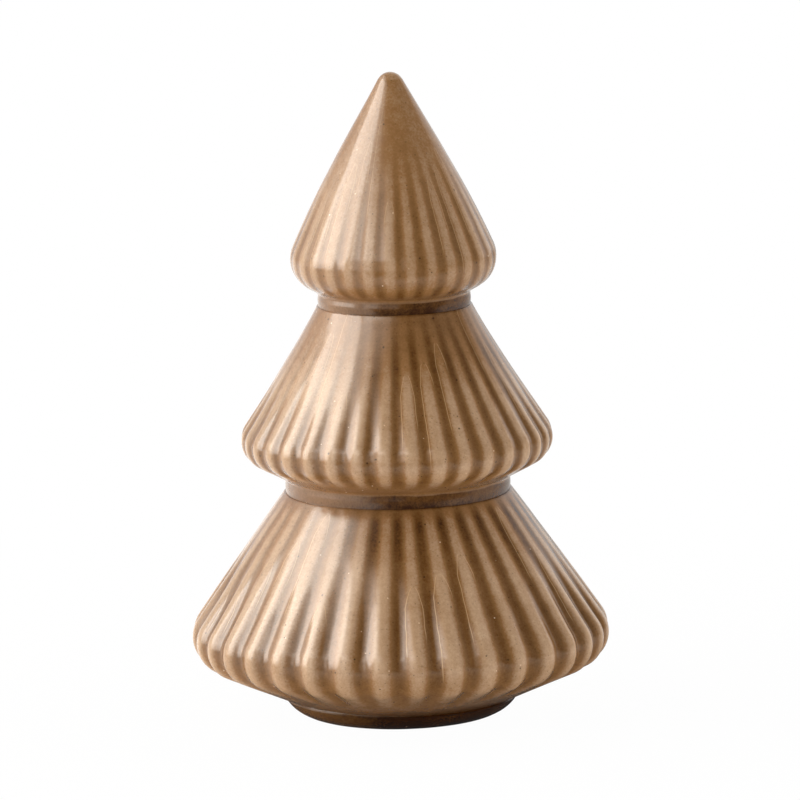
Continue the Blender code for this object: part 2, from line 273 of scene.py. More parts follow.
CROWN = Bell(
    name="crown_bell",
    node="crown_tier",
    seat=UPPER_HIGH.z + JOINT,
    seat_radius=UPPER_NECK,
    below_seat=(UPPER_NECK, UPPER_LOW.z),
    rim_radius=24.7 * MM,
    rim_rise=4.6 * MM,
    rim_round=7.0 * MM,
    top=UPPER_HIGH.z + JOINT + CROWN_HEIGHT,
    top_radius=0.0,
    ribs=30,
    depth=0.12 * MM,
    first_rib=-2.0,
    belly=0.5 * MM,
    belly_share=0.33,
    top_relief=0.0,
    fade=(-0.10, 0.50),
    stripe=0.66,
    under_stripe=0.8,
    stripe_fade=(0.12, 0.60),
    clay_depth=0.07,
    pooled_seat=0.06,
    # the crown's underside pool also paints the shade there
    under_pool_and_shade=0.16,
    top_pool_and_shade=0.0,
    pooled_reach=(0.9, 1.0),
    lit_side_lightening=0.85,
    lit_side_reach=(3.0 * MM, 18.0 * MM),
    seed=5,
)


def smooth(value, low, high):
    """0 below low, 1 above high, and a smooth rise between them."""
    share = min(max((value - low) / (high - low), 0.0), 1.0)
    return share * share * (3.0 - 2.0 * share)


def polar(radius, turn, height):
    return Vector((radius * math.cos(turn), radius * math.sin(turn), height))


def leftward(spot):
    """1 on the left side of the tree, -1 on its right."""
    return -spot.x / max(math.hypot(spot.x, spot.y), MM)


def between(start, end, share):
    return tuple(a + (b - a) * share for a, b in zip(start, end))


def unit(start, end):
    length = math.dist(start, end)
    return tuple((b - a) / length for a, b in zip(start, end))


def line_radius(start, end, height):
    return start[0] + (end[0] - start[0]) * (height - start[1]) / (end[1] - start[1])


def corner_frame(before, corner, after):
    """Half the angle at a corner, and the way into it."""
    back = unit(corner, before)
    ahead = unit(corner, after)
    half = math.acos(back[0] * ahead[0] + back[1] * ahead[1]) / 2.0
    return half, unit((0.0, 0.0), (back[0] + ahead[0], back[1] + ahead[1]))


def rounded(before, corner, after, radius, steps):
    """Points of the arc that rounds the corner between two straight lines."""
    half, inward = corner_frame(before, corner, after)
    centre = [c + d * radius / math.sin(half) for c, d in zip(corner, inward)]
    start = [c + d * radius / math.tan(half) for c, d in zip(corner, unit(corner, before))]
    end = [c + d * radius / math.tan(half) for c, d in zip(corner, unit(corner, after))]
    first = math.atan2(start[1] - centre[1], start[0] - centre[0])
    last = math.atan2(end[1] - centre[1], end[0] - centre[0])
    sweep = (last - first + math.pi) % math.tau - math.pi
    return arc_points(centre, radius, first, first + sweep, steps)


def arc_points(centre, radius, first, last, steps):
    turns = [first + (last - first) * step / steps for step in range(steps + 1)]
    return [(centre[0] + radius * math.cos(a), centre[1] + radius * math.sin(a)) for a in turns]


def flank_point(bell, start, top, share):
    """A point of the flank, which swells or hollows a little from a straight line."""
    along = unit(start, top)
    peak = bell.belly_share
    bow = share / peak * ((1.0 - share) / (1.0 - peak)) ** ((1.0 - peak) / peak)
    straight = between(start, top, share)
    return (
        straight[0] + along[1] * bell.belly * bow,
        straight[1] - along[0] * bell.belly * bow,
    )


def fillet_rings(bell, underside):
    """The hollow corner of glaze where an underside runs into the piece that it sits on."""
    seat = (bell.seat_radius, bell.seat)
    points = rounded(bell.below_seat, seat, underside, FILLET, EDGE_STEPS * 2)
    return [Ring(*point, glaze=bell.pooled_seat + FILLET_POOL * (1.0 - step / len(points)))
            for step, point in enumerate(points)]


def outside_rings(bell):
    """Rings of a bell's outside from its seat up, with its rim's arc and the top of its flank."""
    base = (bell.seat_radius, bell.seat)
    corner = (bell.rim_radius, bell.seat + bell.rim_rise)
    top = (bell.top_radius, bell.top)
    arc = rounded(base, corner, top, bell.rim_round, RIM_STEPS)
    rings = fillet_rings(bell, arc[0])
    first = math.dist(base, (rings[-1].radius, rings[-1].height)) / math.dist(base, arc[0])
    for step in range(1, UNDER_STEPS):
        share = first + (1.0 - first) * step / UNDER_STEPS
        pooled = bell.under_pool_and_shade + bell.pooled_seat * (1.0 - smooth(share, first, SEAT_POOL_END))
        relief = smooth(share, *UNDER_RELIEF)
        stripe = smooth(share, *UNDER_STRIPE) * bell.under_stripe
        rings.append(Ring(*between(base, arc[0], share), relief, stripe, pooled))
    for step, point in enumerate(arc):
        turn = step / RIM_STEPS
        pooled = bell.under_pool_and_shade * (1.0 - smooth(turn, 0.0, RIM_POOL_END))
        relief = smooth(turn, *RIM_RELIEF)
        stripe = bell.under_stripe + (1.0 - bell.under_stripe) * smooth(turn, *RIM_STRIPE)
        rings.append(Ring(*point, relief, stripe, pooled))
    return rings, arc, top


def flank_rings(bell, start, top, last):
    rings = []
    for step in range(1, FLANK_STEPS + 1):
        share = last * step / FLANK_STEPS
        relief = 1.0 - (1.0 - bell.top_relief) * smooth(share, *bell.fade)
        relief /= 1.0 - (1.0 - bell.top_relief) * smooth(0.0, *bell.fade)
        stripe = 1.0 - smooth(share, *bell.stripe_fade)
        # Pooled glaze that also paints the shade under the piece above
        pooled = bell.top_pool_and_shade * smooth(share, *bell.pooled_reach)
        rings.append(Ring(*flank_point(bell, start, top, share), relief, stripe, pooled))
    return rings


def hollow_points(bell, bore):
    """The inner side of a bell, from its bore up to where the flank's wall would end."""
    base = (bell.seat_radius, bell.seat)
    corner = (bell.rim_radius, bell.seat + bell.rim_rise)
    top = (bell.top_radius, bell.top)
    half, inward = corner_frame(base, corner, top)
    inner = tuple(c + d * WALL / math.sin(half) for c, d in zip(corner, inward))
    lift = (inner[0] - corner[0], inner[1] - corner[1])
    floor = (base[0] + lift[0], base[1] + lift[1])
    roof = (top[0] + lift[0], top[1] + lift[1])
    slope = (inner[1] - floor[1]) / (inner[0] - floor[0])
    start = (bore, floor[1] + slope * (bore - floor[0]))
    return start, inner, roof


def open_bell_rings(bell, below, mouth):
    """A closed section: down the hollow, round what hangs below the seat, and up the outside."""
    start, inner, roof = hollow_points(bell, below[0][0])
    lip = bell.top - MOUTH_DEPTH
    rings = [Ring(line_radius(inner, roof, lip), lip), Ring(*inner), Ring(*start)]
    rings += [Ring(*point) for point in below]
    outside, arc, top = outside_rings(bell)
    rings += outside
    reach = 1.0 - SHOULDER_DROP / math.dist(arc[-1], top)
    flank = flank_rings(bell, arc[-1], top, reach)
    rings += flank
    last = flank[-1]
    edge = rounded((last.radius, last.height), top, (mouth, bell.top), SHOULDER_ROUND, EDGE_STEPS)
    # Pooled glaze that also paints the shade on the top edge under the collar
    rings += [Ring(*point, stripe=last.stripe, glaze=EDGE_POOL_AND_SHADE) for point in edge]
    rings += [Ring(mouth, bell.top, glaze=MOUTH_POOL), Ring(mouth, lip)]
    return rings


def crown_rings(bell, below):
    """The crown's section, from the top of its hollow down and up the outside to its tip."""
    start, inner, roof = hollow_points(bell, below[0][0])
    share = (inner[0] - TIP_ROUND) / (inner[0] - roof[0])
    ceiling = between(inner, roof, share)
    rings = [Ring(0.0, ceiling[1] + TIP_ROUND / 2.0), Ring(*ceiling), Ring(*inner), Ring(*start)]
    rings += [Ring(*point) for point in below]
    outside, arc, apex = outside_rings(bell)
    rings += outside
    side = unit(arc[-1], apex)
    half = math.atan2(-side[0], side[1])
    centre = (0.0, apex[1] - TIP_ROUND / math.sin(half))
    touch = (TIP_ROUND * math.cos(half), centre[1] + TIP_ROUND * math.sin(half))
    reach = math.dist(arc[-1], touch) / math.dist(arc[-1], apex)
    rings += flank_rings(bell, arc[-1], apex, reach)
    tip = arc_points(centre, TIP_ROUND, half, math.pi / 2.0, TIP_STEPS)
    rings += [Ring(*point, glaze=TIP_POOL) for point in tip[1:]]
    return rings


def collar_rings(low, high, radius, bore):
    """A plain band, hardly swollen."""
    seat = low - JOINT
    bottom, top = seat - LAP, high + JOINT + LAP
    # The collar's pools are also painted shade under the tier above
    rings = [Ring(bore, bottom), Ring(radius, bottom, glaze=COLLAR_BOTTOM_POOL_AND_SHADE)]
    for share, swell, glaze in COLLAR_LEVELS:
        rings.append(Ring(radius + swell, seat + share * (high - seat), glaze=glaze))
    rings += [Ring(radius, top, glaze=COLLAR_TOP_POOL_AND_SHADE), Ring(bore, top)]
    return rings


def foot_rings():
    """The dished foot: ring, recess, vented floor and the raised ring inside the bottom bell."""
    low = FOOT_LOW.z
    recess = FOOT_BASE - FOOT_RING_WIDTH
    base = (FOOT_BASE, low)
    shoulder = (FOOT_SHOULDER, SHOULDER_HEIGHT)
    rim = shoulder[1] + JOINT + LAP
    roof = rounded((VENT_RADIUS, RECESS_TOP), (recess, RECESS_TOP), (recess, low), RECESS_ROUND, EDGE_STEPS)
    inner = rounded((recess, RECESS_TOP), (recess, low), base, RING_ROUND, EDGE_STEPS)
    edge = rounded((recess, low), base, shoulder, FOOT_EDGE, EDGE_STEPS)
    rings = [Ring(VENT_RADIUS, FLOOR_TOP), Ring(VENT_RADIUS, RECESS_TOP)]
    rings += [Ring(*point) for point in roof + inner]
    # Pooled glaze that also paints the shade under the bottom bell
    rings += [Ring(*point, glaze=FOOT_POOL_AND_SHADE * smooth(step, 1, EDGE_STEPS)) for step, point in enumerate(edge)]
    for step in range(1, FOOT_WALL_STEPS):
        share = step / FOOT_WALL_STEPS
        bow = 4.0 * share * (1.0 - share) * FOOT_BELLY
        radius, height = between(edge[-1], shoulder, share)
        pooled = FOOT_POOL_AND_SHADE - FOOT_WALL_LOSS * smooth(share, *FOOT_WALL_FADE)
        rings.append(Ring(radius + bow, height - bow, glaze=pooled))
    rings.append(Ring(*shoulder, glaze=FOOT_POOL_AND_SHADE))
    rings.append(Ring(shoulder[0] - JOINT, rim, glaze=FOOT_CORNER_POOL_AND_SHADE))
    rings += [Ring(PLUG_RADIUS, rim), Ring(PLUG_RADIUS, FOOT_HIGH.z)]
    rings += [Ring(PLUG_RADIUS - PLUG_WALL, FOOT_HIGH.z), Ring(PLUG_RADIUS - PLUG_WALL, FLOOR_TOP)]
    return rings


def spigot(radius, bell):
    """Bore, end and outer side of the spigot under a bell."""
    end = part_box(bell.node)[0].z
    return [(radius - SPIGOT_WALL, end), (radius, end), (radius, bell.seat)]


def activate(piece):
    bpy.ops.object.select_all(action="DESELECT")
    piece.select_set(True)
    bpy.context.view_layer.objects.active = piece


def turned(name, rings, columns, start, closed):
    """Draws the section ring by ring in the plane at angle start and turns it round the axis."""
    bpy.ops.object.select_all(action="DESELECT")
    first = polar(rings[0].radius, start, rings[0].height)
    bpy.ops.mesh.primitive_plane_add(size=MM, location=first)
    piece = bpy.context.object
    piece.name = name
    bpy.ops.object.mode_set(mode="EDIT")
    bpy.ops.mesh.merge(type="CENTER")
    ahead = rings[1:] + rings[:1] if closed else rings[1:]
    for here, there in zip(rings, ahead):
        step = polar(there.radius, start, there.height) - polar(here.radius, start, here.height)
        bpy.ops.mesh.extrude_vertices_move(TRANSFORM_OT_translate={"value": step})
    bpy.ops.object.mode_set(mode="OBJECT")
    bpy.ops.object.transform_apply(location=True, rotation=True, scale=True)
    wheel = piece.modifiers.new("wheel", "SCREW")
    wheel.angle = math.tau
    wheel.steps = columns
    wheel.render_steps = columns
    bpy.ops.object.modifier_apply(modifier=wheel.name)
    bpy.ops.object.mode_set(mode="EDIT")
    bpy.ops.mesh.select_all(action="SELECT")
    bpy.ops.mesh.remove_doubles(threshold=MERGE)
    bpy.ops.mesh.normals_make_consistent(inside=False)
    bpy.ops.object.mode_set(mode="OBJECT")
    return piece


def ring_table(rings):
    """Each ring and how far it is past the widest, by its rounded radius and height."""
    runs = [0.0]
    for before, ring in zip(rings, rings[1:]):
        runs.append(runs[-1] + math.dist((before.radius, before.height), (ring.radius, ring.height)))
    widest = max(range(len(rings)), key=lambda index: rings[index].radius)
    return {place_key(ring.radius, ring.height): (ring, run - runs[widest])
            for ring, run in zip(rings, runs)}


def place_key(radius, height):
    return round(radius * PLACES_PER_METRE), round(height * PLACES_PER_METRE)


def find_ring(table, spot):
    """The ring that a vertex belongs to. Its key may be rounded either way."""
    column, row = place_key(math.hypot(spot.x, spot.y), spot.z)
    for shift in ((0, 0), (1, 0), (-1, 0), (0, 1), (0, -1), (1, 1), (-1, -1), (1, -1), (-1, 1)):
        found = table.get((column + shift[0], row + shift[1]))
        if found:
            return found
    raise ValueError(f"no ring at {spot}")


class FluteRow:
    """The flutes of one bell, each a little unlike the others in place, width and depth."""

    def __init__(self, bell):
        chance = random.Random(bell.seed)
        self.bell = bell
        self.back = math.radians(bell.first_rib + 90.0)
        self.shifts = [chance.uniform(-FLUTE_SHIFT, FLUTE_SHIFT) for _ in range(bell.ribs)]
        self.widths = [chance.uniform(*FLUTE_WIDTHS) for _ in range(bell.ribs)]
        self.depths = [chance.uniform(*FLUTE_DEPTHS) for _ in range(bell.ribs)]

    def phase(self, spot):
        """Ribs counted from the back crest. Crests are whole numbers, flutes lie between them."""
        turn = math.atan2(spot.y, spot.x) - self.back
        return turn / math.tau * self.bell.ribs % self.bell.ribs

    def settle(self, phase):
        """The phase, moved a little so that each flute's own middle falls on a half."""
        flute = int(phase) % self.bell.ribs
        offset = (phase - int(phase) - 0.5 - self.shifts[flute]) / self.widths[flute]
        return flute + 0.5 + min(max(offset, -0.5), 0.5)

    def cut(self, settled):
        """0 on a crest, 1 on the floor of a full flute."""
        flute = int(settled) % self.bell.ribs
        across = settled - int(settled)
        return self.depths[flute] * ((1.0 - math.cos(math.tau * across)) / 2.0) ** GLAZE_POWER


def flute(piece, bell, rings):
    """Cuts the flutes along the surface's normal, and keeps where glaze fills them as attributes."""
    row = FluteRow(bell)
    table = ring_table(rings)
    group = piece.vertex_groups.new(name="flutes")
    spots = []
    stripes = []
    fills = []
    clay = []
    for vertex in piece.data.vertices:
        ring, run = find_ring(table, vertex.co)
        phase = row.settle(row.phase(vertex.co))
        group.add([vertex.index], min(row.cut(phase) * ring.relief, 1.0), "REPLACE")
        spots.append((phase, run / MM))
        # Painted light: flutes on the key light's side, the left, hold less glaze and show lighter
        thin = bell.lit_side_lightening * smooth(leftward(vertex.co), *LIT_SIDE_TURN)
        thin *= RIM_LIT_SHARE + (1.0 - RIM_LIT_SHARE) * smooth(run, *bell.lit_side_reach)
        stripes.append(ring.stripe * bell.stripe)
        fills.append(ring.stripe * bell.stripe * (1.0 - thin))
        pitch = math.tau * ring.radius / bell.ribs
        clay.append(smooth(run, *CLAY_START) * ring.stripe * bell.clay_depth * pitch)
    lay_pattern(piece.data, spots, bell.ribs)
    keep(piece.data, "stripe", stripes)
    keep(piece.data, "fill", fills)
    keep(piece.data, "clay", clay)
    mark_glaze(piece, rings)
    activate(piece)
    cutter = piece.modifiers.new("flutes", "DISPLACE")
    cutter.vertex_group = "flutes"
    cutter.direction = "NORMAL"
    cutter.mid_level = 0.0
    cutter.strength = -bell.depth
    bpy.ops.object.modifier_apply(modifier=cutter.name)


def lay_pattern(mesh, spots, turns):
    """A UV map of ribs counted round the bell and millimetres up its flank from the rim."""
    layer = mesh.uv_layers.new(name="flutes")
    for face in mesh.polygons:
        across = [spots[index][0] for index in face.vertices]
        wraps = max(across) - min(across) > turns / 2.0
        for loop, index in zip(face.loop_indices, face.vertices):
            phase, run = spots[index]
            if wraps and phase < turns / 2.0:
                phase += turns
            layer.data[loop].uv = (phase, run)


def mark_glaze(piece, rings):
    """Keeps where a turned piece's glaze pools or is thin. Pools are made thinner on the left, which paints
    the key light's side lighter.
    """
    table = ring_table(rings)
    depths = []
    for vertex in piece.data.vertices:
        ring = find_ring(table, vertex.co)[0]
        # Painted light: pools are thinner on the key light's side
        depths.append(ring.glaze * (1.0 - POOL_LIT_LIGHTENING * smooth(leftward(vertex.co), *POOL_LIT_TURN)))
    keep(piece.data, "glaze", depths)


def keep(mesh, name, values):
    mesh.attributes.new(name, "FLOAT", "POINT").data.foreach_set("value", values)


def hand_wobble(piece, height, scale):
    """The slight unevenness of pressed and glazed clay."""
    lumps = bpy.data.textures.new(piece.name + "_lumps", "CLOUDS")
    lumps.noise_scale = scale
    lumps.noise_depth = 1
    activate(piece)
    wobble = piece.modifiers.new("wobble", "DISPLACE")
    wobble.texture = lumps
    wobble.texture_coords = "LOCAL"
    wobble.mid_level = 0.5
    wobble.strength = height
    bpy.ops.object.modifier_apply(modifier=wobble.name)


def finish(piece, material, node):
    """Smooths a piece, gives it its material and lets it stand for its CAD node."""
    activate(piece)
    bpy.ops.object.shade_smooth_by_angle(angle=SHARP_ANGLE)
    piece.data.materials.clear()
    piece.data.materials.append(material)
    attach(piece, "root")
    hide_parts(node)
    return piece


SMALLEST_SPOT = 0.6  # of scattered spots, as a share of the largest


class Value:
    """A number that varies over a surface. Arithmetic on it adds Math nodes."""

    def __init__(self, paint, socket):
        self.paint = paint
        self.socket = socket

    def __add__(self, other):
        return self.paint.math("ADD", self, other)

    def __sub__(self, other):
        return self.paint.math("SUBTRACT", self, other)

    def __mul__(self, other):
        return self.paint.math("MULTIPLY", self, other)

    def __truediv__(self, other):
        return self.paint.math("DIVIDE", self, other)

    def __rsub__(self, other):
        return self.paint.math("SUBTRACT", other, self)

    def __neg__(self):
        return self.paint.math("MULTIPLY", self, -1.0)

    def __abs__(self):
        return self.paint.math("ABSOLUTE", self)

    __radd__ = __add__
    __rmul__ = __mul__


class Paint:
    """The node tree of a material, of a lamp or of the world."""

    def __init__(self, owner):
        owner.use_nodes = True
        self.tree = owner.node_tree
        self.surface = self.tree.nodes.get("Principled BSDF")

    def node(self, kind, settings=None, inputs=None):
        """Makes a node, with its settings first and then the values or links of its sockets."""
        made = self.tree.nodes.new("ShaderNode" + kind)
        for name, value in (settings or {}).items():
            if name == "stops":
                self.set_stops(made.color_ramp, value)
            else:
                setattr(made, name, value)
        for name, value in (inputs or {}).items():
            self.feed(made.inputs[name], value)
        return made

    def set_stops(self, ramp, stops):
        while len(ramp.elements) < len(stops):
            ramp.elements.new(1.0)
        for element, (position, color) in zip(ramp.elements, stops):
            element.position = position
            element.color = (*color, 1.0)

    def feed(self, socket, value):
        if isinstance(value, Value):
            self.tree.links.new(value.socket, socket)
        elif isinstance(value, bpy.types.NodeSocket):
            self.tree.links.new(value, socket)
        else:
            socket.default_value = value

    def math(self, operation, *values, clamp=False):
        settings = {"operation": operation, "use_clamp": clamp}
        made = self.node("Math", settings, dict(enumerate(values)))
        return Value(self, made.outputs[0])

    def clamp(self, value):
        return self.math("ADD", value, 0.0, clamp=True)

    def rise(self, value, low, high):
        """0 below low, 1 above high, and a smooth rise between them."""
        settings = {"interpolation_type": "SMOOTHSTEP"}
        inputs = {"Value": value, "From Min": low, "From Max": high}
        return Value(self, self.node("MapRange", settings, inputs).outputs["Result"])

    def place(self):
        """Object coordinates in millimetres."""
        source = self.node("TexCoord").outputs["Object"]
        scaled = self.node("VectorMath", {"operation": "SCALE"}, {0: source, "Scale": 1.0 / MM})
        return scaled.outputs[0]

    def parts(self, vector):
        """The three numbers of a vector."""
        made = self.node("SeparateXYZ", None, {"Vector": vector})
        return [Value(self, made.outputs[axis]) for axis in "XYZ"]

    def attribute(self, name):
        made = self.node("Attribute", {"attribute_name": name})
        return Value(self, made.outputs["Fac"])

    def noise(self, vector, size, detail=2.0, rough=0.5):
        """Noise with lumps of about this size, in the vector's own units, from 0 to 1."""
        inputs = {"Vector": vector, "Scale": 1.0 / size, "Detail": detail, "Roughness": rough}
        return Value(self, self.node("TexNoise", None, inputs).outputs["Fac"])

    def chance(self, number, seed):
        """A random number from 0 to 1 for each whole number."""
        inputs = {"W": number + seed}
        made = self.node("TexWhiteNoise", {"noise_dimensions": "1D"}, inputs)
        return Value(self, made.outputs["Value"])

    def spots(self, vector, pitch, radius, soft, share):
        """1 inside scattered round spots. share is the part of the cells that hold one."""
        cells = self.node("TexVoronoi", None, {"Vector": vector, "Scale": 1.0 / pitch})
        away = Value(self, cells.outputs["Distance"]) * pitch
        picks = self.node("SeparateColor", None, {"Color": cells.outputs["Color"]})
        held = self.math("LESS_THAN", Value(self, picks.outputs["Red"]), share)
        size = radius * (SMALLEST_SPOT + (1.0 - SMALLEST_SPOT) * Value(self, picks.outputs["Green"]))
        return held * (1.0 - self.rise(away, size - soft, size + soft))

    def blend(self, low, high, share):
        """Mixes two colours."""
        settings = {"data_type": "RGBA"}
        made = self.node("Mix", settings, {0: share, 6: low, 7: high})
        return made.outputs[2]

    def shade(self, color, factor):
        """A colour made darker or lighter by a number."""
        settings = {"data_type": "RGBA", "blend_type": "MULTIPLY"}
        grey = self.node("CombineColor", None, {"Red": factor, "Green": factor, "Blue": factor})
        made = self.node("Mix", settings, {0: 1.0, 6: color, 7: grey.outputs[0]})
        return made.outputs[2]

    def bump(self, height, depth, below=None):
        inputs = {"Height": height, "Distance": depth}
        if below is not None:
            inputs["Normal"] = below
        return self.node("Bump", None, inputs).outputs["Normal"]

    def dress(self, **sockets):
        """Sets the surface's sockets, whose names are written with underscores."""
        for name, value in sockets.items():
            self.feed(self.surface.inputs[name.replace("_", " ")], value)


# Glaze colours from thin to pooled, by share of the greatest thickness
GLAZE_STOPS = (
    (0.00, (0.70, 0.51, 0.35)),
    (0.20, (0.52, 0.34, 0.205)),
    (0.50, (0.29, 0.145, 0.054)),
    (0.85, (0.135, 0.056, 0.012)),
    (1.00, (0.045, 0.014, 0.003)),
)

# Thickness of the glaze, as a share of the thickest
PLAIN_GLAZE = 0.50
CREST_LOSS = 0.24
FLUTE_FILL = 0.52
FILL_EDGE = (0.10, 0.85)  # from full to empty, between a flute's middle at 0 and its crests at 1
CLOUDING = 0.24
MOTTLING = 0.20
GRAINING = 0.30
GRAIN_RELIEF = 0.004 * MM

# Marks in the glaze
SPECK_DARKENING = 0.30
FLECK_DARKENING = 0.65
PINHOLE_COLOR = (0.80, 0.60, 0.40, 1.0)
PINHOLE_STRENGTH = 0.8
HAIRLINE_COLOR = (0.66, 0.43, 0.23, 1.0)
HAIRLINE_STRENGTH = 0.7

# Gloss
GLAZE_INDEX = 1.5
GLAZE_GLOSS = 0.17
CLAY_ROUGHNESS = 0.6

# Hairlines, in millimetres up the flank and in shares of the pitch across it
HAIRLINE_SHARE = 0.75  # of the ribs that have one
HAIRLINE_TOPS = (10.0, 30.0)  # the lowest, and how much higher the others may be
HAIRLINE_LENGTHS = (5.0, 10.0)  # the shortest, and how much longer the others may be
HAIRLINE_LEFT_LENGTH = 20.0  # how much longer still a rib's left line may be
HAIRLINE_ARCH = 5.0  # height over which the two lines part below a rib's top
HAIRLINE_SPREAD = 0.30  # how far from the crest they then run
HAIRLINE_START = 0.4  # over which a line starts below its top
HAIRLINE_END = 4.0  # over which it dies out
HAIRLINE_WIDTH = (0.003, 0.019)  # half its width where it is full, and where it ends
HAIRLINE_DRIFT = 0.06  # how far it wanders across a rib
DRIFT_SIZE = 4.0

# Bare stoneware
STONEWARE_DARK = (0.40, 0.31, 0.22, 1.0)
STONEWARE_LIGHT = (0.56, 0.45, 0.34, 1.0)
STONEWARE_CONTRAST = 1.6
STONEWARE_SPECKS = 0.6
STONEWARE_ROUGHNESS = 0.85
SANDING_RELIEF = 0.05 * MM

# Felt
FELT_DARK = (0.028, 0.024, 0.020, 1.0)
FELT_LIGHT = (0.115, 0.10, 0.085, 1.0)
FELT_ROUGHNESS = 0.95
FELT_FUZZ = 0.4
FIBRE_RELIEF = 0.12 * MM


def glaze_material(name, fluted):
    """Clear caramel glaze, thin and light over crests and edges, dark where it pools.

    The clay's flutes shade the colour from below. The coat's gloss follows the mesh, which is the
    smoother surface of the glaze. Some pools paint shade under the tiers, and thinner glaze on the left
    paints light.
    """
    material = bpy.data.materials.new(name)
    paint = Paint(material)
    place = paint.place()
    cloud = paint.noise(place, size=12.0) - 0.5
    mottle = paint.noise(place, size=2.2, rough=0.6) - 0.5
    grain = paint.noise(place, size=0.5, rough=0.7) - 0.5
    # The glaze attribute holds real pools, painted shade under the tiers and collars, and painted light on
    # the left
    thickness = PLAIN_GLAZE + paint.attribute("glaze")
    thickness = thickness + cloud * CLOUDING + mottle * MOTTLING + grain * GRAINING
    clay_normal = paint.bump(grain, GRAIN_RELIEF)
    if fluted:
        away = flute_away(paint)
        filled = FLUTE_FILL * (1.0 - paint.rise(away, *FILL_EDGE))
        # The fill attribute holds the glaze in the flutes, less of it on the left as painted light
        thickness = thickness + paint.attribute("fill") * filled - paint.attribute("stripe") * CREST_LOSS
        cut = paint.math("POWER", 0.5 + 0.5 * paint.math("COSINE", away * math.pi), CLAY_POWER)
        clay_normal = paint.bump(-cut * paint.attribute("clay"), 1.0, clay_normal)
    color = paint.node("ValToRGB", {"stops": GLAZE_STOPS}, {"Fac": paint.clamp(thickness)}).outputs["Color"]

    specks = paint.spots(place, pitch=1.0, radius=0.20, soft=0.07, share=0.55)
    flecks = paint.spots(place, pitch=2.5, radius=0.24, soft=0.06, share=0.45)
    pinholes = paint.spots(place, pitch=2.8, radius=0.19, soft=0.05, share=0.4)
    color = paint.shade(color, 1.0 - SPECK_DARKENING * specks)
    color = paint.shade(color, 1.0 - FLECK_DARKENING * flecks)
    color = paint.blend(color, PINHOLE_COLOR, pinholes * PINHOLE_STRENGTH)
    if fluted:
        color = paint.blend(color, HAIRLINE_COLOR, hairlines(paint) * HAIRLINE_STRENGTH)

    paint.dress(Base_Color=color, Roughness=CLAY_ROUGHNESS, Specular_IOR_Level=0.0, Normal=clay_normal,
                Coat_Weight=1.0, Coat_Roughness=GLAZE_GLOSS, Coat_IOR=GLAZE_INDEX)
    return material


def flute_away(paint):
    """0 in the middle of a flute, 1 on the crests."""
    ribs = paint.parts(flute_pattern(paint))[0]
    return 2.0 * abs(paint.math("FRACT", ribs) - 0.5)


def flute_pattern(paint):
    return paint.node("UVMap", {"uv_map": "flutes"}).outputs["UV"]


def hairlines(paint):
    """Hair-thin golden lines where the glaze breaks over a rib's sides and round its top."""
    pattern = flute_pattern(paint)
    ribs, run, _ = paint.parts(pattern)
    ribs = ribs + HAIRLINE_DRIFT * (paint.noise(pattern, DRIFT_SIZE, detail=1.0) - 0.5)
    crest = paint.math("ROUND", ribs)
    side = ribs - crest
    left = paint.math("LESS_THAN", side, 0.0)
    peak = HAIRLINE_TOPS[0] + HAIRLINE_TOPS[1] * paint.chance(crest, seed=0.37)
    below = peak - run
    spread = HAIRLINE_SPREAD * paint.math("POWER", paint.clamp(below / HAIRLINE_ARCH), 0.5)
    away = abs(abs(side) - spread)
    length = HAIRLINE_LENGTHS[0] + HAIRLINE_LENGTHS[1] * paint.chance(crest, seed=7.21)
    length = length + left * (HAIRLINE_LEFT_LENGTH * paint.chance(crest, seed=5.55))
    held = paint.math("LESS_THAN", paint.chance(crest, seed=3.93), HAIRLINE_SHARE)
    along = paint.rise(below, 0.0, HAIRLINE_START) * (1.0 - paint.rise(below - length, -HAIRLINE_END, 0.0))
    return held * along * (1.0 - paint.rise(away, *HAIRLINE_WIDTH))


def clay_material():
    """Bare stoneware, sanded where it stands."""
    material = bpy.data.materials.new("bare_stoneware")
    paint = Paint(material)
    place = paint.place()
    cloud = paint.noise(place, size=2.5, detail=4.0, rough=0.6) - 0.5
    color = paint.blend(STONEWARE_DARK, STONEWARE_LIGHT, paint.clamp(0.5 + STONEWARE_CONTRAST * cloud))
    specks = paint.spots(place, pitch=1.6, radius=0.15, soft=0.05, share=0.5)
    color = paint.shade(color, 1.0 - STONEWARE_SPECKS * specks)
    grain = paint.noise(place, size=0.35, detail=3.0, rough=0.6)
    paint.dress(Base_Color=color, Roughness=STONEWARE_ROUGHNESS, Normal=paint.bump(grain, SANDING_RELIEF))
    return material


def felt_material():
    """Pressed felt: short matted fibres."""
    material = bpy.data.materials.new("pressed_felt")
    paint = Paint(material)
    place = paint.place()
    fibres = paint.noise(place, size=0.18, detail=4.0, rough=0.7)
    tufts = paint.noise(place, size=0.9)
    tone = paint.clamp(0.5 * fibres + 0.5 * tufts)
    color = paint.blend(FELT_DARK, FELT_LIGHT, tone)
    paint.dress(Base_Color=color, Roughness=FELT_ROUGHNESS, Sheen_Weight=FELT_FUZZ,
                Normal=paint.bump(fibres, FIBRE_RELIEF))
    return material


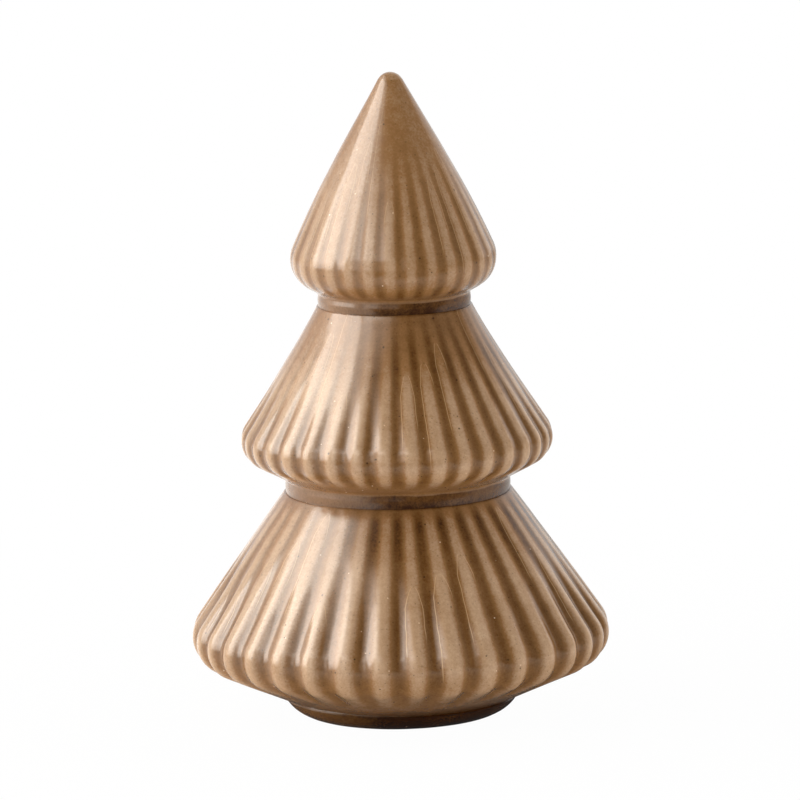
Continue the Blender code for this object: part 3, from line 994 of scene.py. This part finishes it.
def make_bells(glaze):
    """The three tiers. The upper two hang a spigot in the mouth below."""
    plug_bore = PLUG_RADIUS + JOINT
    bottom = open_bell_rings(BOTTOM, [(plug_bore, BOTTOM.seat)], BOTTOM_MOUTH)
    middle = open_bell_rings(MIDDLE, spigot(BOTTOM_MOUTH - JOINT, MIDDLE), MIDDLE_MOUTH)
    crown = crown_rings(CROWN, spigot(MIDDLE_MOUTH - JOINT, CROWN))
    for bell, rings, closed in ((BOTTOM, bottom, True), (MIDDLE, middle, True), (CROWN, crown, False)):
        start = math.radians(bell.first_rib - 90.0)
        piece = turned(bell.name, rings, bell.ribs * RIB_COLUMNS, start, closed)
        flute(piece, bell, rings)
        for height, scale in BELL_WOBBLES:
            hand_wobble(piece, height, scale)
        finish(piece, glaze, bell.node)


def make_plain(name, rings, glaze, node):
    """A turned piece without flutes."""
    piece = turned(name, rings, PLAIN_COLUMNS, 0.0, True)
    mark_glaze(piece, rings)
    hand_wobble(piece, *NECK_WOBBLE)
    return finish(piece, glaze, node)


def make_collars(glaze):
    lower = collar_rings(LOWER_LOW.z, LOWER_HIGH.z, LOWER_NECK, BOTTOM_MOUTH)
    upper = collar_rings(UPPER_LOW.z, UPPER_HIGH.z, UPPER_NECK, MIDDLE_MOUTH)
    make_plain("lower_band", lower, glaze, "lower_collar")
    make_plain("upper_band", upper, glaze, "upper_collar")


def make_foot(glaze, clay):
    """The foot, whose underside is wiped clean of glaze before firing."""
    foot = make_plain("foot_dish", foot_rings(), glaze, "foot")
    foot.data.materials.append(clay)
    for face in foot.data.polygons:
        inside = math.hypot(face.center.x, face.center.y) < FOOT_BASE - FOOT_EDGE / 2.0
        if inside and face.normal.z < BARE_TILT and face.center.z < FLOOR_TOP:
            face.material_index = 1


def make_pads(felt):
    """Felt discs with soft edges, each where the frame holds it."""
    for number in (1, 2, 3):
        node = f"felt_pad_{number}"
        low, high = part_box(node)
        centre = (low + high) / 2.0
        size = high - low
        bpy.ops.object.select_all(action="DESELECT")
        bpy.ops.mesh.primitive_cylinder_add(
            vertices=PAD_COLUMNS, radius=size.x / 2.0, depth=size.z, end_fill_type="NGON", location=centre)
        pad = bpy.context.object
        pad.name = f"felt_disc_{number}"
        bpy.ops.object.mode_set(mode="EDIT")
        bpy.ops.mesh.select_all(action="SELECT")
        bpy.ops.mesh.bevel(offset=PAD_EDGE, segments=PAD_EDGE_STEPS, affect="EDGES")
        bpy.ops.object.mode_set(mode="OBJECT")
        bpy.ops.object.transform_apply(location=True, rotation=True, scale=True)
        finish(pad, felt, node)


WHITE = (1.0, 1.0, 1.0, 1.0)

# Table
TABLE_SIZE = 8.0
TABLE_CLOTH = (0.86, 0.86, 0.86, 1.0)
TABLE_WARMTH = (1.0, 0.97, 0.94, 1.0)
TABLE_REACH = 0.15  # from the axis to the table's front edge, which shows as a line in the glaze
TABLE_SKEW = 0.9  # how far that edge runs forward on the left
TABLE_EDGE = 0.004  # over which it is soft
SHADOW_TRACE = 0.02  # by which the camera sees the table darker close to the tree
SHADOW_FADE = (0.08, 0.24)
SHADE_FADE = (0.025, 0.12)  # how far round the foot the glaze mirrors the table dark
SHADE_SIDE = (0.020, 0.048)  # and where that ends on the key light's side
TABLE_GLOW = 0.5  # how much brighter the glaze mirrors the table on the key light's side
GLOW_SIDE = (-0.02, 0.07)
GLOW_START = (0.045, 0.085)

# Light that the table returns to the tree, besides what falls on it here
BOUNCE = 0.50
BOUNCE_NEAR = 0.3  # share of it that is left round the foot
BOUNCE_START = (0.025, 0.11)
BOUNCE_LOSS = 0.4  # share of it that is lost far away
BOUNCE_END = (0.14, 0.40)
LEFT_BOUNCE = 0.6  # what comes on top close to the foot on the key light's side
LEFT_SIDE = (0.018, 0.05)
LEFT_END = (0.06, 0.12)

# Room. An edge says how far a ray points towards a wall, from 0 to 1, where its light starts and is full
ROOM_LEVEL = 0.05  # the dark side of the studio, in front of the table, as the glaze mirrors it
FILL_LEVEL = 0.06  # and as it lights the tree
BACKDROP_LEVEL = 1.0
BACKDROP_EDGE = (0.38, 0.66)
RIGHT_LEVEL = 2.2  # a white wall far off on the right
RIGHT_EDGE = (0.45, 0.95)
TOP_LEVEL = 0.22  # the ceiling
TOP_EDGE = (0.40, 0.95)


def make_floor():
    """A plain white table, pure white to the camera but for a trace of shadow."""
    bpy.ops.object.select_all(action="DESELECT")
    bpy.ops.mesh.primitive_plane_add(size=TABLE_SIZE, location=(0, 0, 0))
    floor = bpy.context.object
    floor.name = "white_floor"
    material = bpy.data.materials.new("white_floor")
    paint = Paint(material)
    ray = paint.node("LightPath")
    camera_ray = Value(paint, ray.outputs["Is Camera Ray"])
    glossy_ray = Value(paint, ray.outputs["Is Glossy Ray"])
    diffuse_ray = Value(paint, ray.outputs["Is Diffuse Ray"])
    across, ahead, _ = paint.parts(paint.node("TexCoord").outputs["Object"])
    away = paint.math("SQRT", ahead * ahead + across * across)
    left = -across

    plain = 1.0 - SHADOW_TRACE * (1.0 - paint.rise(away, *SHADOW_FADE))
    inward = ahead + TABLE_SKEW * paint.math("MAXIMUM", left, 0.0)
    beyond = 1.0 - paint.rise(inward, -TABLE_REACH - TABLE_EDGE, -TABLE_REACH)
    shade = (1.0 - paint.rise(away, *SHADE_FADE)) * (1.0 - paint.rise(left, *SHADE_SIDE))
    hidden = paint.math("MAXIMUM", beyond, shade)
    cloth = paint.node("BsdfDiffuse", None, {"Color": TABLE_CLOTH})
    white = paint.node("Emission", None, {"Color": WHITE, "Strength": 1.0})
    dark = paint.node("Emission", None, {"Color": WHITE, "Strength": ROOM_LEVEL})
    seen = paint.node("MixShader", None, {0: camera_ray * plain, 1: cloth.outputs[0], 2: white.outputs[0]})
    mirrored = paint.node("MixShader", None, {0: glossy_ray * hidden, 1: seen.outputs[0], 2: dark.outputs[0]})

    near = BOUNCE_NEAR + (1.0 - BOUNCE_NEAR) * paint.rise(away, *BOUNCE_START)
    spread = near * (1.0 - BOUNCE_LOSS * paint.rise(away, *BOUNCE_END))
    beside = paint.rise(left, *LEFT_SIDE) * (1.0 - paint.rise(away, *LEFT_END))
    returned = BOUNCE * spread + LEFT_BOUNCE * beside
    lit = TABLE_GLOW * (1.0 - beyond) * paint.rise(left, *GLOW_SIDE) * paint.rise(away, *GLOW_START)
    glow = paint.shade(TABLE_WARMTH, diffuse_ray * returned + glossy_ray * lit)
    bounce = paint.node("Emission", None, {"Color": glow, "Strength": 1.0})
    table = paint.node("AddShader", None, {0: mirrored.outputs[0], 1: bounce.outputs[0]})
    paint.feed(paint.tree.nodes["Material Output"].inputs["Surface"], table.outputs[0])
    floor.data.materials.append(material)


def make_world():
    """A white backdrop behind the tree and a dim room in front. The camera sees only white."""
    world = bpy.data.worlds.new("studio")
    bpy.context.scene.world = world
    paint = Paint(world)
    ray = paint.node("LightPath")
    glossy_ray = Value(paint, ray.outputs["Is Glossy Ray"])
    right, back, up = paint.parts(paint.node("TexCoord").outputs["Generated"])
    fill = FILL_LEVEL + RIGHT_LEVEL * paint.rise(right, *RIGHT_EDGE) + TOP_LEVEL * paint.rise(up, *TOP_EDGE)
    front = glossy_ray * ROOM_LEVEL + (1.0 - glossy_ray) * fill
    room = front + (BACKDROP_LEVEL - front) * paint.rise(back, *BACKDROP_EDGE)
    seen = paint.math("MAXIMUM", Value(paint, ray.outputs["Is Camera Ray"]),
                      Value(paint, ray.outputs["Is Transmission Ray"]))
    background = paint.tree.nodes["Background"]
    paint.feed(background.inputs["Strength"], room + (1.0 - room) * seen)
    paint.feed(background.inputs["Color"], WHITE)


AIM_HEIGHT = 68.66 * MM  # the tree's middle, which the lamps and the camera face


@dataclass
class Softbox:
    """A lamp that faces the tree's middle. Angles are in degrees, azimuth is counted left of the camera."""

    name: str
    azimuth: float
    elevation: float
    distance: float
    width: float
    height: float
    radiance: float


# The light itself, and what the glaze mirrors of it: a bright heart that fades towards its edges
KEY_LIGHT = Softbox("key_light", 85.0, 30.0, 0.82, 1.30, 0.90, 2.9)
KEY_MIRRORED = (
    Softbox("key_heart", 83.0, 24.0, 0.80, 0.62, 0.88, 7.4),
    Softbox("key_halo", 86.0, 27.0, 0.80, 1.06, 1.20, 1.9),
    Softbox("key_glow", 88.0, 24.0, 0.80, 1.40, 1.50, 0.8),
    Softbox("key_tail", 27.0, 40.0, 0.80, 0.50, 0.30, 2.3),
    Softbox("key_low", 36.0, 15.0, 0.80, 0.34, 0.86, 3.2),
    Softbox("key_front", 9.0, 12.0, 0.80, 0.44, 0.80, 0.9),
)
KEY_COLOR = (1.0, 0.965, 0.90)
LAMP_FOOT = 0.55  # share of a softbox's light that is left at its lower edge
LAMP_FADE = (0.05, 0.35)  # shares of its height between which it comes to its full light


def hang(box):
    """Makes a softbox's lamp, dimmer low down and never seen by the camera."""
    turn = math.radians(box.azimuth)
    rise = math.radians(box.elevation)
    aim = Vector((0.0, 0.0, AIM_HEIGHT))
    away = Vector((-math.sin(turn) * math.cos(rise), -math.cos(turn) * math.cos(rise), math.sin(rise)))
    data = bpy.data.lights.new(box.name, "AREA")
    data.shape = "RECTANGLE"
    data.size = box.width
    data.size_y = box.height
    data.energy = box.radiance * math.pi * box.width * box.height
    data.color = KEY_COLOR
    paint = Paint(data)
    height = paint.parts(paint.node("NewGeometry").outputs["Parametric"])[1]
    lit = LAMP_FOOT + (1.0 - LAMP_FOOT) * paint.rise(height, *LAMP_FADE)
    paint.feed(paint.tree.nodes["Emission"].inputs["Color"], paint.shade(WHITE, lit))
    lamp = bpy.data.objects.new(box.name, data)
    bpy.context.scene.collection.objects.link(lamp)
    lamp.location = aim + away * box.distance
    lamp.rotation_euler = away.to_track_quat("Z", "Y").to_euler()
    lamp.visible_camera = False
    return lamp


def make_lamps():
    """The key light lights the tree but isn't mirrored. The others are only mirrored."""
    hang(KEY_LIGHT).visible_glossy = False
    for box in KEY_MIRRORED:
        hang(box).visible_diffuse = False


# Camera
CAMERA_DISTANCE = 1.3007
CAMERA_ELEVATION = 9.6
CAMERA_ROLL = 1.12
CAMERA_LENS = 270.0
CAMERA_SENSOR = 36.0
CAMERA_NEAREST = 0.05
CAMERA_FARTHEST = 50.0
PHOTO_WIDTH = 800
TREE_LEFT = 3.86  # pixels by which the tree stands left of the photograph's middle


def make_camera():
    """The photograph's view: a long lens, slightly above, rolled until the tree leans as it does there."""
    data = bpy.data.cameras.new("camera")
    data.sensor_width = CAMERA_SENSOR
    data.lens = CAMERA_LENS
    data.shift_x = TREE_LEFT / PHOTO_WIDTH
    data.clip_start = CAMERA_NEAREST
    data.clip_end = CAMERA_FARTHEST
    camera = bpy.data.objects.new("camera", data)
    bpy.context.scene.collection.objects.link(camera)
    rise = math.radians(CAMERA_ELEVATION)
    away = Vector((0.0, -math.cos(rise), math.sin(rise)))
    spot = Vector((0.0, 0.0, AIM_HEIGHT)) + away * CAMERA_DISTANCE
    facing = away.to_track_quat("Z", "Y").to_matrix().to_4x4()
    roll = Matrix.Rotation(math.radians(-CAMERA_ROLL), 4, "Z")
    camera.matrix_world = Matrix.Translation(spot) @ facing @ roll
    bpy.context.scene.camera = camera


def main():
    bpy.context.scene.view_settings.view_transform = "Standard"
    make_camera()
    make_world()
    make_floor()
    make_lamps()

    make_bells(glaze_material("fluted_glaze", True))
    neck_glaze = glaze_material("neck_glaze", False)
    make_collars(neck_glaze)
    make_foot(neck_glaze, clay_material())
    make_pads(felt_material())


main()
